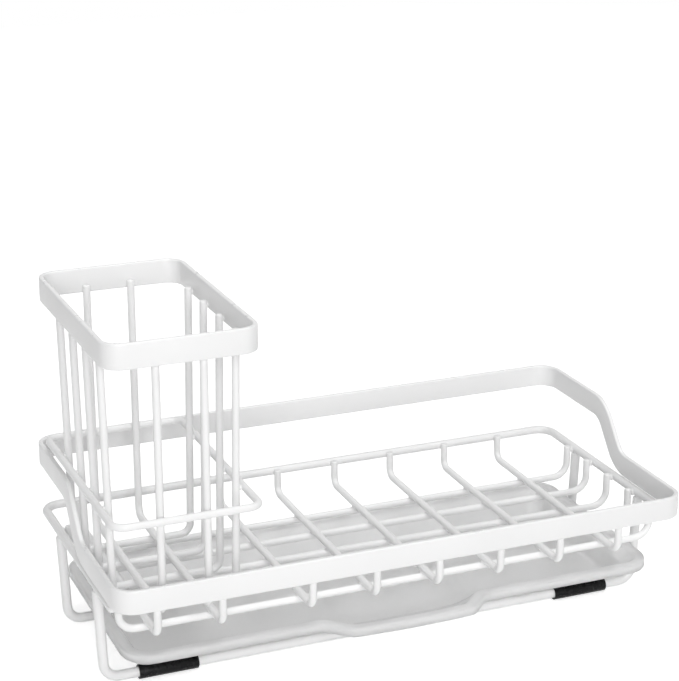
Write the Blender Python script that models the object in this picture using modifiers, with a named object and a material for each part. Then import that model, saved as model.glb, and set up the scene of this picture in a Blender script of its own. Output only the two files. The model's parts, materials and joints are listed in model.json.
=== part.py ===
# Sink caddy: a coated wire basket on two leg frames, a taller basket for a brush
# that stands in it at the left, and a drip tray that slides out at the front.
#
# Metres, +Z up, +X to the right, -Y to the front. The origin is on the surface
# that the caddy stands on, under the middle of the basket.

import math

import bmesh
import bpy
from mathutils import Matrix, Vector

# General
GAP = 0.0003  # between pieces that touch
WIRE = 0.0030  # diameter of the wires of both baskets
STRIP_THICKNESS = 0.0020  # flat strip of both rims
STRIP_HEIGHT = 0.0095  # height of the main rim strip
WIRE_LAP = 0.0035  # how far wire ends reach up inside a rim, from its lower edge
BEND_STEPS = 5  # straight pieces in a thin wire's bend
CORNER_STEPS = 6  # straight pieces in the corner of a strip, a leg or the tray
WIRE_SIDES = 8
LEG_SIDES = 12

# Main basket
LENGTH = 0.240
DEPTH = 0.118
RIM_CORNER = 0.009  # outer radius of the main rim's corners, seen from above
BACK_RISE = 0.0193  # how much higher the rim is at the back
RISE_START = 0.053  # from the front face to where each side starts to rise
RISE_RUN = 0.0155  # length of the rise
RISE_BEND = 0.013  # radius where the strip turns up and levels out
RAIL = 0.0036  # diameter of the rail that runs under the rim and round the back
RAIL_SETBACK = 0.012  # from the front face to the ends of the rail
RAIL_RISE = 0.0126  # from the long floor wires up to the rail

# Floor of the main basket
LONG_COUNT = 5  # wires that run left to right
LONG_FIRST = 0.0187  # from the front face to the first
LONG_LAST = 0.0285  # from the back face to the last
LONG_BEND = 0.0065  # centre radius of their turned-up ends
CROSS_PITCH = 0.02655  # wires that run front to back, under the open bay
CROSS_COUNT = 6
CROSS_LAST = 0.0291  # from the right end to the last of them
LEFT_CROSS = (0.0165, 0.0420)  # from the left end to the two under the brush basket
CROSS_BEND = 0.0040

# Leg frames
LEG = 0.0040  # diameter of the leg wire
LEG_BEND = 0.0062  # centre radius between a leg and its foot
LEG_LEAN = 0.0016  # how much further in a leg is at its foot than at the rail
FRONT_FOOT = 0.0345  # from the front face to the front foot
BACK_FOOT = 0.0297  # from the back face to the back foot

# Rubber sleeves on the feet
SLEEVE_WALL = 0.0006
SLEEVE_LENGTH = 0.0242
SLEEVE_PLACE = 0.0291  # from each end of the basket to a sleeve's middle
SLEEVE_SIDES = 16
SLEEVE_CHAMFER = 0.0002

# Drip tray
TRAY_SIDE_GAP = 0.0012  # to the foot of the legs on each side
TRAY_SETBACK = 0.0103  # from the front face back to the tray's straight edge
TRAY_BACK_SPACE = 0.0102  # from the tray to the back face
TRAY_HEIGHT = 0.0157
TRAY_WALL = 0.0012
TRAY_CORNER = 0.012
TRAY_SKIRT = 0.0036  # height of the rim's outer skirt
TRAY_RIM = 0.0030  # width of the rim's crown
TRAY_RIM_CROWN = 0.0006  # how far the rim is rounded over
TRAY_STEP = 0.0060  # from the outer edge in to the top of the sloping sides
TRAY_STEP_DROP = 0.0016
TRAY_HOLLOW_SIDE = 0.0075  # from the outer edge in to the bottom of the lip's hollow
TRAY_HOLLOW_FRONT = 0.0100
TRAY_HOLLOW_DROP = 0.0055
TRAY_HOLLOW_REACH = 0.85  # part of the lip's reach that the hollow follows
TRAY_FLOOR_SIDE = 0.0090  # from the outer edge in to the flat floor, at the sides
TRAY_FLOOR_LEAD = 0.0022  # from the front of the flat floor to the front foot
TRAY_FLOOR_BACK = 0.0100
TRAY_FLOOR_CORNER = 0.008
LIP_REACH = 0.0078  # how far the finger lip stands out where it levels off
LIP_CROWN = 0.0022  # further reach at its middle
LIP_OUTER = 0.0350  # half width where it leaves the tray's edge
LIP_INNER = 0.0265  # half width where it levels off
LIP_STEPS = 24  # straight pieces across the lip
TRAY_HEADROOM = 0.0067  # from the rim up to the long floor wires

# Brush basket
BRUSH_WIDTH = 0.0598  # over its rim
BRUSH_TAPER = 0.0018  # how much further out its side wires are at the rim than at the floor
BRUSH_BACK_SPACE = 0.0157  # from its rim to the main basket's back face
BRUSH_HEIGHT = 0.1114  # from the centre of its lowest wires to the rim's top
BRUSH_RIM_HEIGHT = 0.0100
BRUSH_CORNER = 0.008
BRUSH_SIDE_GAP = 0.0003  # to the rail at the left
BRUSH_FRONT_GAP = 0.0008  # to the floor wires that rise at the front
BRUSH_RING_RISE = 0.0415  # from its lowest wires to the ring's centre
BRUSH_RING_BEND = 0.0050
BRUSH_RUNG_COUNT = 4  # wires that run left to right
BRUSH_RUNG_FIRST = 0.0204  # from its front face to the first of them
BRUSH_RUNG_LAST = 0.0220  # from its back face to the last of them
BRUSH_RUNNER_FIRST = 0.0198  # from its left face to the first wire that runs front to back
BRUSH_RUNNER_PITCH = 0.0181
BRUSH_RUNNER_COUNT = 2
BRUSH_BEND = 0.0045

# Heights, from the surface up
sleeve_flats = LEG + 2 * (GAP + SLEEVE_WALL)
foot_z = sleeve_flats / 2
tray_z = sleeve_flats + GAP
tray_top = tray_z + TRAY_HEIGHT
long_z = tray_top + TRAY_HEADROOM + WIRE / 2
cross_z = long_z + WIRE + GAP
rail_z = long_z + RAIL_RISE
low_z = rail_z + RAIL / 2 + GAP + STRIP_HEIGHT / 2
high_z = low_z + BACK_RISE
leg_top = rail_z - RAIL / 2 - GAP
rung_z = cross_z + WIRE + GAP
runner_z = rung_z + WIRE + GAP
brush_top = rung_z + BRUSH_HEIGHT
brush_wire_top = brush_top - BRUSH_RIM_HEIGHT + WIRE_LAP

# Places in plan
front = -DEPTH / 2
back = DEPTH / 2
leg_x = LENGTH / 2 - LEG / 2
foot_x = leg_x - LEG_LEAN
rail_x = leg_x
rail_back = back - LEG / 2
rail_inner = rail_x - RAIL / 2
upturn_x = leg_x - LEG / 2 - GAP - WIRE / 2
upturn_front = front + STRIP_THICKNESS + GAP + WIRE / 2
upturn_back = rail_back - RAIL / 2 - GAP - WIRE / 2
tray_half = foot_x - LEG / 2 - TRAY_SIDE_GAP
wire_inset = STRIP_THICKNESS + GAP + WIRE / 2  # from a rim's outer face to its wires
lean_at_rail = BRUSH_TAPER * (rail_z - rung_z) / (brush_wire_top - rung_z)
brush_floor_left = -(rail_inner - BRUSH_SIDE_GAP) + WIRE / 2 + lean_at_rail
brush_left = brush_floor_left - BRUSH_TAPER - wire_inset
brush_right = brush_left + BRUSH_WIDTH
brush_floor_right = brush_right - wire_inset - BRUSH_TAPER
brush_front = upturn_front + WIRE / 2 + BRUSH_FRONT_GAP - STRIP_THICKNESS - GAP
brush_back = back - BRUSH_BACK_SPACE
rung_spread = brush_back - brush_front - BRUSH_RUNG_FIRST - BRUSH_RUNG_LAST
front_foot_y = front + FRONT_FOOT
back_foot_y = back - BACK_FOOT
tray_front = front + TRAY_SETBACK
tray_back = back - TRAY_BACK_SPACE
tray_floor_front = front_foot_y - TRAY_FLOOR_LEAD - tray_front


def start_clean():
    for item in list(bpy.data.objects):
        bpy.data.objects.remove(item, do_unlink=True)
    collection = bpy.data.collections.new("sink_caddy")
    bpy.context.scene.collection.children.link(collection)
    return collection


def make_material(name, color, roughness, metallic=0.0, transmission=0.0):
    material = bpy.data.materials.new(name)
    material.use_nodes = True
    shader = material.node_tree.nodes["Principled BSDF"]
    shader.inputs["Base Color"].default_value = (*color, 1.0)
    shader.inputs["Roughness"].default_value = roughness
    shader.inputs["Metallic"].default_value = metallic
    shader.inputs["Transmission Weight"].default_value = transmission
    return material


def make_pivot(name, place, collection):
    """An empty on a moving piece's joint axis, which its pieces hang on."""
    pivot = bpy.data.objects.new(name, None)
    pivot.location = place
    pivot.empty_display_size = 0.01
    collection.objects.link(pivot)
    return pivot


def add_object(name, data, material, collection, pivot=None):
    piece = bpy.data.objects.new(name, data)
    data.materials.append(material)
    collection.objects.link(piece)
    if pivot is not None:
        piece.parent = pivot
    return piece


def turn_corner(before, corner, after, radius, steps):
    """Points of an arc that rounds one corner of a path."""
    to_before = (before - corner).normalized()
    to_after = (after - corner).normalized()
    opening = to_before.angle(to_after)
    reach = radius / math.tan(opening / 2)
    middle = corner + (to_before + to_after).normalized() * (radius / math.sin(opening / 2))
    start = corner + to_before * reach - middle
    turn = math.pi - opening
    side = (start.normalized().cross((corner - middle).normalized())).normalized()
    across = side.cross(start)
    return [middle + start * math.cos(turn * k / steps) + across * math.sin(turn * k / steps)
            for k in range(steps + 1)]


def bent_path(corners, radii, steps=BEND_STEPS, closed=False):
    """Rounds the corners of a path. A single radius serves every corner."""
    points = [Vector(c) for c in corners]
    count = len(points)
    if not isinstance(radii, (list, tuple)):
        radii = [radii] * count
    path = []
    for k, corner in enumerate(points):
        if not closed and k in (0, count - 1):
            path.append(corner)
            continue
        path += turn_corner(points[k - 1], corner, points[(k + 1) % count], radii[k], steps)
    return path


def make_curve(name, path, origin, closed):
    curve = bpy.data.curves.new(name, "CURVE")
    curve.dimensions = "3D"
    curve.resolution_u = 1
    spline = curve.splines.new("POLY")
    spline.points.add(len(path) - 1)
    for point, place in zip(spline.points, path):
        point.co = (*(place - origin), 1.0)
    spline.use_cyclic_u = closed
    spline.use_smooth = True
    return curve


def make_wire(name, path, diameter, material, collection, pivot=None, sides=WIRE_SIDES,
              closed=False):
    """A round wire along a path, with flat ends."""
    origin = pivot.location if pivot else Vector()
    curve = make_curve(name, path, origin, closed)
    curve.twist_mode = "Z_UP" if closed else "MINIMUM"
    curve.bevel_depth = diameter / 2
    curve.bevel_resolution = sides // 2 - 2
    curve.use_fill_caps = not closed
    return add_object(name, curve, material, collection, pivot)


def make_strip(name, path, height, material, collection, pivot=None):
    """A closed flat strip that stands on edge, with rounded edges."""
    origin = pivot.location if pivot else Vector()
    curve = make_curve(name, path, origin, True)
    curve.twist_mode = "Z_UP"
    curve.bevel_depth = STRIP_THICKNESS / 2
    curve.bevel_resolution = 1
    curve.extrude = (height - STRIP_THICKNESS) / 2
    return add_object(name, curve, material, collection, pivot)


def rectangle(left, right, near, far, z):
    return [(left, near, z), (right, near, z), (right, far, z), (left, far, z)]


def u_path(start, end, top_start, top_end, z, radius):
    """A wire that goes down, runs level at z and comes up again."""
    corners = [(*start, top_start), (*start, z), (*end, z), (*end, top_end)]
    return bent_path(corners, radius)


# Main basket

def build_rim(material, collection):
    """The flat strip, low at the front, that sweeps up along both sides."""
    half = STRIP_THICKNESS / 2
    x = LENGTH / 2 - half
    near = front + half
    far = back - half
    rise_from = front + RISE_START
    rise_to = rise_from + RISE_RUN
    corners = [(-x, near, low_z), (x, near, low_z), (x, rise_from, low_z), (x, rise_to, high_z),
               (x, far, high_z), (-x, far, high_z), (-x, rise_to, high_z), (-x, rise_from, low_z)]
    turn = RIM_CORNER - half
    radii = [turn, turn, RISE_BEND, RISE_BEND, turn, turn, RISE_BEND, RISE_BEND]
    path = bent_path(corners, radii, steps=CORNER_STEPS, closed=True)
    make_strip("main_rim", path, STRIP_HEIGHT, material, collection)


def build_rail(material, collection):
    """The round rail under the rim's low part, which carries the floor and the legs."""
    near = front + RAIL_SETBACK
    corners = [(-rail_x, near, rail_z), (-rail_x, rail_back, rail_z),
               (rail_x, rail_back, rail_z), (rail_x, near, rail_z)]
    path = bent_path(corners, RIM_CORNER - LEG / 2)
    make_wire("rail", path, RAIL, material, collection)


def long_wire_y(index):
    spread = DEPTH - LONG_FIRST - LONG_LAST
    return front + LONG_FIRST + spread * index / (LONG_COUNT - 1)


def build_long_wires(material, collection):
    """Floor wires from left to right, turned up at both ends against the rail."""
    top = rail_z + WIRE / 2
    for index in range(LONG_COUNT):
        y = long_wire_y(index)
        path = u_path((-upturn_x, y), (upturn_x, y), top, top, long_z, LONG_BEND)
        make_wire(f"floor_long_wire_{index + 1}", path, WIRE, material, collection)


def cross_wire_places():
    left = [-LENGTH / 2 + place for place in LEFT_CROSS]
    last = LENGTH / 2 - CROSS_LAST
    right = [last - CROSS_PITCH * k for k in range(CROSS_COUNT)]
    return left + right[::-1]


def build_cross_wires(material, collection):
    """Floor wires from front to back, turned up inside the rim and the rail."""
    top_front = low_z - STRIP_HEIGHT / 2 + WIRE_LAP
    top_back = rail_z + WIRE / 2
    for index, x in enumerate(cross_wire_places()):
        path = u_path((x, upturn_front), (x, upturn_back), top_front, top_back,
                      cross_z, CROSS_BEND)
        make_wire(f"floor_cross_wire_{index + 1}", path, WIRE, material, collection)


# Leg frames and their sleeves

def build_leg_frames(material, collection):
    """Two wires, each a left leg, a foot and a right leg."""
    for name, y in (("front", front_foot_y), ("back", back_foot_y)):
        corners = [(-leg_x, y, leg_top), (-foot_x, y, foot_z), (foot_x, y, foot_z),
                   (leg_x, y, leg_top)]
        path = bent_path(corners, LEG_BEND, steps=CORNER_STEPS)
        make_wire(f"{name}_leg_frame", path, LEG, material, collection, sides=LEG_SIDES)


def build_sleeves(material, collection):
    """Rubber sleeves round the feet, turned about the foot wire."""
    flat = math.cos(math.pi / SLEEVE_SIDES)
    outer = sleeve_flats / 2 / flat
    bore = (LEG / 2 + GAP) / flat
    half = SLEEVE_LENGTH / 2
    cut = SLEEVE_CHAMFER
    profile = [(-half, bore), (-half, outer - cut), (-half + cut, outer),
               (half - cut, outer), (half, outer - cut), (half, bore)]
    mesh = bpy.data.meshes.new("foot_sleeve")
    shape = bmesh.new()
    points = [shape.verts.new((x, 0.0, -radius)) for x, radius in profile]
    edges = [shape.edges.new((a, b)) for a, b in zip(points, points[1:] + points[:1])]
    bmesh.ops.rotate(shape, verts=points, cent=(0, 0, 0),
                     matrix=Matrix.Rotation(math.pi / SLEEVE_SIDES, 3, "X"))
    bmesh.ops.spin(shape, geom=points + edges, cent=(0, 0, 0), axis=(1, 0, 0),
                   angle=2 * math.pi, steps=SLEEVE_SIDES, use_merge=True)
    bmesh.ops.recalc_face_normals(shape, faces=shape.faces)
    shape.to_mesh(mesh)
    shape.free()
    mesh.shade_smooth()
    mesh.set_sharp_from_angle(angle=math.radians(40))
    mesh.materials.append(material)
    x = LENGTH / 2 - SLEEVE_PLACE
    for foot, y in (("front", front_foot_y), ("back", back_foot_y)):
        for side, place in (("left", -x), ("right", x)):
            sleeve = bpy.data.objects.new(f"{foot}_{side}_sleeve", mesh)
            sleeve.location = (place, y, foot_z)
            collection.objects.link(sleeve)


# Drip tray

def smooth(value):
    value = min(max(value, 0.0), 1.0)
    return value * value * (3 - 2 * value)


def lip_reach(x):
    """How far the tray's front edge stands forward at x."""
    out = smooth((LIP_OUTER - abs(x)) / (LIP_OUTER - LIP_INNER))
    crown = max(0.0, 1.0 - (x / LIP_OUTER) ** 2)
    return out * (LIP_REACH + LIP_CROWN * crown)


def tray_loop(side, near, far, corner, reach, z):
    """One level of the tray: a rounded rectangle whose front edge has the lip."""
    half = tray_half - side
    near_y = tray_front + near
    far_y = tray_back - far
    points = []
    for x_sign, y_sign, turn in ((-1, 1, 90), (-1, -1, 180)):
        points += corner_arc(half, near_y, far_y, corner, x_sign, y_sign, turn)
    for k in range(LIP_STEPS + 1):
        x = LIP_OUTER * (2 * k / LIP_STEPS - 1)
        points.append((x, near_y - reach * lip_reach(x)))
    for x_sign, y_sign, turn in ((1, -1, 270), (1, 1, 0)):
        points += corner_arc(half, near_y, far_y, corner, x_sign, y_sign, turn)
    return [(x, y, z) for x, y in points]


def corner_arc(half, near_y, far_y, radius, x_sign, y_sign, turn):
    centre_x = x_sign * (half - radius)
    centre_y = far_y - radius if y_sign > 0 else near_y + radius
    angles = [math.radians(turn + 90 * k / CORNER_STEPS) for k in range(CORNER_STEPS + 1)]
    return [(centre_x + radius * math.cos(a), centre_y + radius * math.sin(a)) for a in angles]


def build_tray(material, collection, pivot):
    """A moulded tray: rolled rim with a skirt, a hollow lip, and a floor on the sleeves."""
    under = TRAY_CORNER
    floor_z = tray_z + TRAY_WALL
    levels = [
        tray_loop(0, 0, 0, under, 1.0, tray_top - TRAY_SKIRT),
        tray_loop(0, 0, 0, under, 1.0, tray_top - TRAY_RIM_CROWN),
        tray_loop(TRAY_RIM_CROWN, TRAY_RIM_CROWN, TRAY_RIM_CROWN, under - TRAY_RIM_CROWN,
                  1.0, tray_top),
        tray_loop(TRAY_RIM, TRAY_RIM, TRAY_RIM, under - TRAY_RIM, 1.0, tray_top),
        tray_loop(TRAY_STEP, TRAY_STEP, TRAY_STEP, under - TRAY_STEP, 1.0,
                  tray_top - TRAY_STEP_DROP),
        tray_loop(TRAY_HOLLOW_SIDE, TRAY_HOLLOW_FRONT, TRAY_HOLLOW_SIDE,
                  TRAY_FLOOR_CORNER, TRAY_HOLLOW_REACH, tray_top - TRAY_HOLLOW_DROP),
        tray_loop(TRAY_FLOOR_SIDE, tray_floor_front, TRAY_FLOOR_BACK, TRAY_FLOOR_CORNER,
                  0.0, floor_z),
    ]
    mesh = bpy.data.meshes.new("drip_tray")
    shape = bmesh.new()
    rings = []
    for level in levels:
        rings.append([shape.verts.new(Vector(p) - pivot.location) for p in level])
    for lower, upper in zip(rings, rings[1:]):
        for k in range(len(lower)):
            n = (k + 1) % len(lower)
            shape.faces.new((lower[k], lower[n], upper[n], upper[k]))
    shape.faces.new(rings[-1])
    shape.to_mesh(mesh)
    shape.free()
    mesh.shade_smooth()
    mesh.set_sharp_from_angle(angle=math.radians(50))
    tray = add_object("drip_tray", mesh, material, collection, pivot)
    wall = tray.modifiers.new("wall", "SOLIDIFY")
    wall.thickness = TRAY_WALL
    wall.offset = -1
    wall.use_even_offset = True


# Brush basket

def build_brush_basket(material, collection, pivot):
    """A basket that tapers to its floor: rim strip, ring, two sets of U-shaped wires."""
    half = STRIP_THICKNESS / 2
    rim_z = brush_top - BRUSH_RIM_HEIGHT / 2
    corners = rectangle(brush_left + half, brush_right - half, brush_front + half,
                        brush_back - half, rim_z)
    path = bent_path(corners, BRUSH_CORNER - half, steps=CORNER_STEPS, closed=True)
    make_strip("brush_rim", path, BRUSH_RIM_HEIGHT, material, collection, pivot)

    left = brush_left + wire_inset
    right = brush_right - wire_inset
    near = brush_front + wire_inset
    far = brush_back - wire_inset
    out = WIRE + GAP
    ring_z = rung_z + BRUSH_RING_RISE
    lean_at_ring = BRUSH_TAPER * BRUSH_RING_RISE / (brush_wire_top - rung_z)
    corners = rectangle(brush_floor_left - lean_at_ring - out,
                        brush_floor_right + lean_at_ring + out, near - out, far + out, ring_z)
    path = bent_path(corners, BRUSH_RING_BEND, steps=CORNER_STEPS, closed=True)
    make_wire("brush_ring", path, WIRE, material, collection, pivot, closed=True)

    top = brush_wire_top
    for index in range(BRUSH_RUNG_COUNT):
        y = brush_front + BRUSH_RUNG_FIRST + rung_spread * index / (BRUSH_RUNG_COUNT - 1)
        corners = [(left, y, top), (brush_floor_left, y, rung_z),
                   (brush_floor_right, y, rung_z), (right, y, top)]
        path = bent_path(corners, BRUSH_BEND)
        make_wire(f"brush_width_wire_{index + 1}", path, WIRE, material, collection, pivot)
    for index in range(BRUSH_RUNNER_COUNT):
        x = brush_left + BRUSH_RUNNER_FIRST + index * BRUSH_RUNNER_PITCH
        path = u_path((x, near), (x, far), top, top, runner_z, BRUSH_BEND)
        make_wire(f"brush_depth_wire_{index + 1}", path, WIRE, material, collection, pivot)


def main():
    collection = start_clean()
    coated = make_material("white_coated_steel", (0.88, 0.88, 0.88), 0.35)
    rubber = make_material("black_rubber", (0.02, 0.02, 0.022), 0.45)
    plastic = make_material("frosted_plastic", (0.80, 0.82, 0.83), 0.30, transmission=0.3)

    build_rim(coated, collection)
    build_rail(coated, collection)
    build_long_wires(coated, collection)
    build_cross_wires(coated, collection)
    build_leg_frames(coated, collection)
    build_sleeves(rubber, collection)

    tray_middle = (0.0, (tray_front + tray_back) / 2, tray_z)
    tray_pivot = make_pivot("drip_tray_slide", tray_middle, collection)
    build_tray(plastic, collection, tray_pivot)

    brush_middle = ((brush_left + brush_right) / 2, (brush_front + brush_back) / 2, rung_z)
    brush_pivot = make_pivot("brush_basket_lift", brush_middle, collection)
    build_brush_basket(coated, collection, brush_pivot)


main()
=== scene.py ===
"""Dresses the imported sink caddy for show.

The caddy is a coated wire basket on two leg frames, a taller basket for a brush
that stands in it at the left, and a drip tray that slides out at the front.
Metres, +Z up, +X to the right, -Y to the front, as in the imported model.
"""

import sys
import json
import logging
import math
from abc import ABC, abstractmethod
from collections.abc import Sequence
from dataclasses import dataclass, field
from enum import Enum
from functools import cache, cached_property

import bmesh
import bpy
from bmesh.types import BMEdge, BMesh, BMVert
from bpy.types import (Material, Mesh, Node, NodeInputs, NodeOutputs, NodeSocket, NodeTree,
                       Object)
from mathutils import Matrix, Vector

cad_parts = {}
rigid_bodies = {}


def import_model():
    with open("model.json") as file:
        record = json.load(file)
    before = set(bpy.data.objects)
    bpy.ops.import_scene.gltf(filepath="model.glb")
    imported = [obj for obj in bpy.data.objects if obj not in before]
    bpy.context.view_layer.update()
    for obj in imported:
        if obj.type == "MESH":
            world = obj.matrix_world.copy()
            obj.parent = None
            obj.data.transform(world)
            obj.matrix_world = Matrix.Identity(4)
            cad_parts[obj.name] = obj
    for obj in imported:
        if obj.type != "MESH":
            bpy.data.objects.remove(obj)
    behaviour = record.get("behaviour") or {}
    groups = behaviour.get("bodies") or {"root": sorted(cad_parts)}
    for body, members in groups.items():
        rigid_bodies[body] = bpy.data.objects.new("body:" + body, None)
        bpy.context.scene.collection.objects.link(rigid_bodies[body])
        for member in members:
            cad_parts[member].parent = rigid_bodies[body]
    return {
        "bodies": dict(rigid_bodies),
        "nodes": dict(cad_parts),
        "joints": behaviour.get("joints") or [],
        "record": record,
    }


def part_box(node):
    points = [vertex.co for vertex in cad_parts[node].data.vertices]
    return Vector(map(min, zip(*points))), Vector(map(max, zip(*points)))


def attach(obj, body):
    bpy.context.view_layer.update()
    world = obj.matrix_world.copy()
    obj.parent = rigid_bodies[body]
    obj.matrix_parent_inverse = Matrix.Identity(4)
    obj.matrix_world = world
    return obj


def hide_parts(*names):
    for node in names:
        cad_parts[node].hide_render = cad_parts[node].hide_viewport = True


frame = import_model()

Point = tuple[float, float, float]
Color = tuple[float, float, float, float]

LOG = logging.getLogger("sink_caddy")
UP = Vector((0.0, 0.0, 1.0))
EDGE_LAYER = "strip_edge"
SHARP_ANGLE = math.radians(60)  # an edge stays sharp from here
GAP = 0.0003  # between solids that touch
SAME_PLACE = 1e-6  # points no further apart lie at one place


class Body(Enum):
    """The moving bodies of the caddy."""

    FRAME = "frame"
    DRIP_TRAY = "drip_tray"
    BRUSH_BASKET = "brush_basket"


class Run(Enum):
    """The way that a U-shaped wire runs, seen from above."""

    ACROSS = "left to right"
    INTO = "front to back"


@cache
def solid_box(node: str) -> tuple[Vector, Vector]:
    """Reads a solid's lowest and highest corner once.

    Args:
        node: The solid's name.

    Returns:
        The two corners.
    """
    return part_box(node)


def solid_centre(node: str) -> Vector:
    """Returns the middle of a solid's box."""
    low, high = solid_box(node)
    return (low + high) / 2


def solid_sides(node: str, inset: float = 0.0) -> tuple[float, float, float, float]:
    """Returns a solid's left, right, near and far side, each drawn in by the inset."""
    low, high = solid_box(node)
    return low.x + inset, high.x - inset, low.y + inset, high.y - inset


def numbered(stem: str, count: int) -> tuple[str, ...]:
    """Returns the names of a row of solids."""
    return tuple(f"{stem}_{index + 1}" for index in range(count))


# Shader building blocks


@dataclass
class NodeBench:
    """Adds nodes to one shader tree and links them."""

    tree: NodeTree

    def add(self, kind: str, **settings: object) -> Node:
        """Adds one node.

        Args:
            kind: The node's type name.
            settings: Properties to set on the node.

        Returns:
            The new node.
        """
        node = self.tree.nodes.new(kind)
        for name, value in settings.items():
            setattr(node, name, value)
        return node

    def feed(self, target: NodeSocket, source: object) -> None:
        """Links an output to an input, or sets the input to a plain value.

        Args:
            target: The input to fill.
            source: An output socket, or a number or colour.
        """
        if isinstance(source, NodeSocket):
            self.tree.links.new(source, target)
        else:
            target.default_value = source

    def noise(self, vector: object, scale: object, detail: float = 2.0) -> NodeSocket:
        """Adds a noise texture.

        Args:
            vector: The place to read it at.
            scale: Its scale, in waves per metre.
            detail: Its number of finer layers.

        Returns:
            Its value, around 0.5.
        """
        node = self.add("ShaderNodeTexNoise")
        self.feed(node.inputs["Vector"], vector)
        self.feed(node.inputs["Scale"], scale)
        node.inputs["Detail"].default_value = detail
        return node.outputs["Fac"]

    def math(self, operation: str, first: object, second: object,
             third: object = 0.0) -> NodeSocket:
        """Adds a math node.

        Args:
            operation: The name of the operation.
            first: Its first value.
            second: Its second value.
            third: Its third value, where it has one.

        Returns:
            The result.
        """
        node = self.add("ShaderNodeMath", operation=operation)
        for socket, value in zip(node.inputs, (first, second, third)):
            self.feed(socket, value)
        return node.outputs["Value"]

    def remap(self, value: object, low: object, high: object, to_low: object,
              to_high: object) -> NodeSocket:
        """Maps a range of values to another, and holds them inside it.

        Args:
            value: The value to map.
            low: The value that becomes to_low.
            high: The value that becomes to_high.
            to_low: The lowest result.
            to_high: The highest result.

        Returns:
            The mapped value.
        """
        node = self.add("ShaderNodeMapRange")
        for name, source in (("Value", value), ("From Min", low), ("From Max", high),
                             ("To Min", to_low), ("To Max", to_high)):
            self.feed(node.inputs[name], source)
        return node.outputs["Result"]

    def place_of(self, stretch: Sequence[float] = (1.0, 1.0, 1.0)) -> NodeSocket:
        """Gives the place on the object, stretched along its axes.

        Args:
            stretch: The scale along each axis.

        Returns:
            The mapped object coordinates.
        """
        coordinates = self.add("ShaderNodeTexCoord")
        mapping = self.add("ShaderNodeMapping")
        mapping.inputs["Scale"].default_value = stretch
        self.feed(mapping.inputs["Vector"], coordinates.outputs["Object"])
        return mapping.outputs["Vector"]


class SurfaceEffect(ABC):
    """A node group that more than one finish uses."""

    name: str = ""
    inputs: tuple[tuple[str, str, object], ...] = ()
    outputs: tuple[tuple[str, str], ...] = ()

    @classmethod
    def group(cls) -> NodeTree:
        """Builds the group once.

        Returns:
            The node group.
        """
        found = bpy.data.node_groups.get(cls.name)
        if found is not None:
            return found
        tree = bpy.data.node_groups.new(cls.name, "ShaderNodeTree")
        for label, kind, value in cls.inputs:
            socket = tree.interface.new_socket(label, in_out="INPUT", socket_type=kind)
            if value is not None:
                socket.default_value = value
        for label, kind in cls.outputs:
            tree.interface.new_socket(label, in_out="OUTPUT", socket_type=kind)
        bench = NodeBench(tree)
        start = bench.add("NodeGroupInput")
        end = bench.add("NodeGroupOutput")
        cls.draw(bench, start.outputs, end.inputs)
        return tree

    @classmethod
    def use(cls, bench: NodeBench, **values: object) -> NodeOutputs:
        """Places the group in a tree.

        Args:
            bench: The tree's bench.
            values: The group's inputs, with spaces written as underscores.

        Returns:
            The group node's outputs.
        """
        node = bench.add("ShaderNodeGroup", node_tree=cls.group())
        for name, value in values.items():
            bench.feed(node.inputs[name.replace("_", " ")], value)
        return node.outputs

    @staticmethod
    @abstractmethod
    def draw(bench: NodeBench, given: NodeOutputs, result: NodeInputs) -> None:
        """Builds the nodes inside the group.

        Args:
            bench: The group's bench.
            given: The group's inputs, as sockets to read.
            result: The group's outputs, as sockets to fill.
        """


class CoatRipple(SurfaceEffect):
    """The soft orange-peel waves of a sprayed or moulded skin."""

    name = "coat_ripple"
    inputs = (("Place", "NodeSocketVector", None), ("Waves", "NodeSocketFloat", 500.0))
    outputs = (("Height", "NodeSocketFloat"),)
    FINER = 3.3
    FINE_SHARE = 0.35

    @staticmethod
    def draw(bench: NodeBench, given: NodeOutputs, result: NodeInputs) -> None:
        """Adds finer waves to broad ones."""
        broad = bench.noise(given["Place"], given["Waves"], 1.0)
        fine_scale = bench.math("MULTIPLY", given["Waves"], CoatRipple.FINER)
        fine = bench.noise(given["Place"], fine_scale, 2.0)
        bench.feed(result["Height"],
                   bench.math("MULTIPLY_ADD", fine, CoatRipple.FINE_SHARE, broad))


class ToneDrift(SurfaceEffect):
    """A slow change of tone over a surface."""

    name = "tone_drift"
    inputs = (("Place", "NodeSocketVector", None), ("Color", "NodeSocketColor", None),
              ("Darkest", "NodeSocketFloat", 0.96), ("Waves", "NodeSocketFloat", 40.0))
    outputs = (("Color", "NodeSocketColor"),)
    NOISE_RANGE = (0.32, 0.66)

    @staticmethod
    def draw(bench: NodeBench, given: NodeOutputs, result: NodeInputs) -> None:
        """Multiplies the colour by a slow noise."""
        slow = bench.noise(given["Place"], given["Waves"], 1.0)
        level = bench.remap(slow, *ToneDrift.NOISE_RANGE, given["Darkest"], 1.0)
        scale = bench.add("ShaderNodeVectorMath", operation="SCALE")
        bench.feed(scale.inputs["Vector"], given["Color"])
        bench.feed(scale.inputs["Scale"], level)
        bench.feed(result["Color"], scale.outputs["Vector"])


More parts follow.
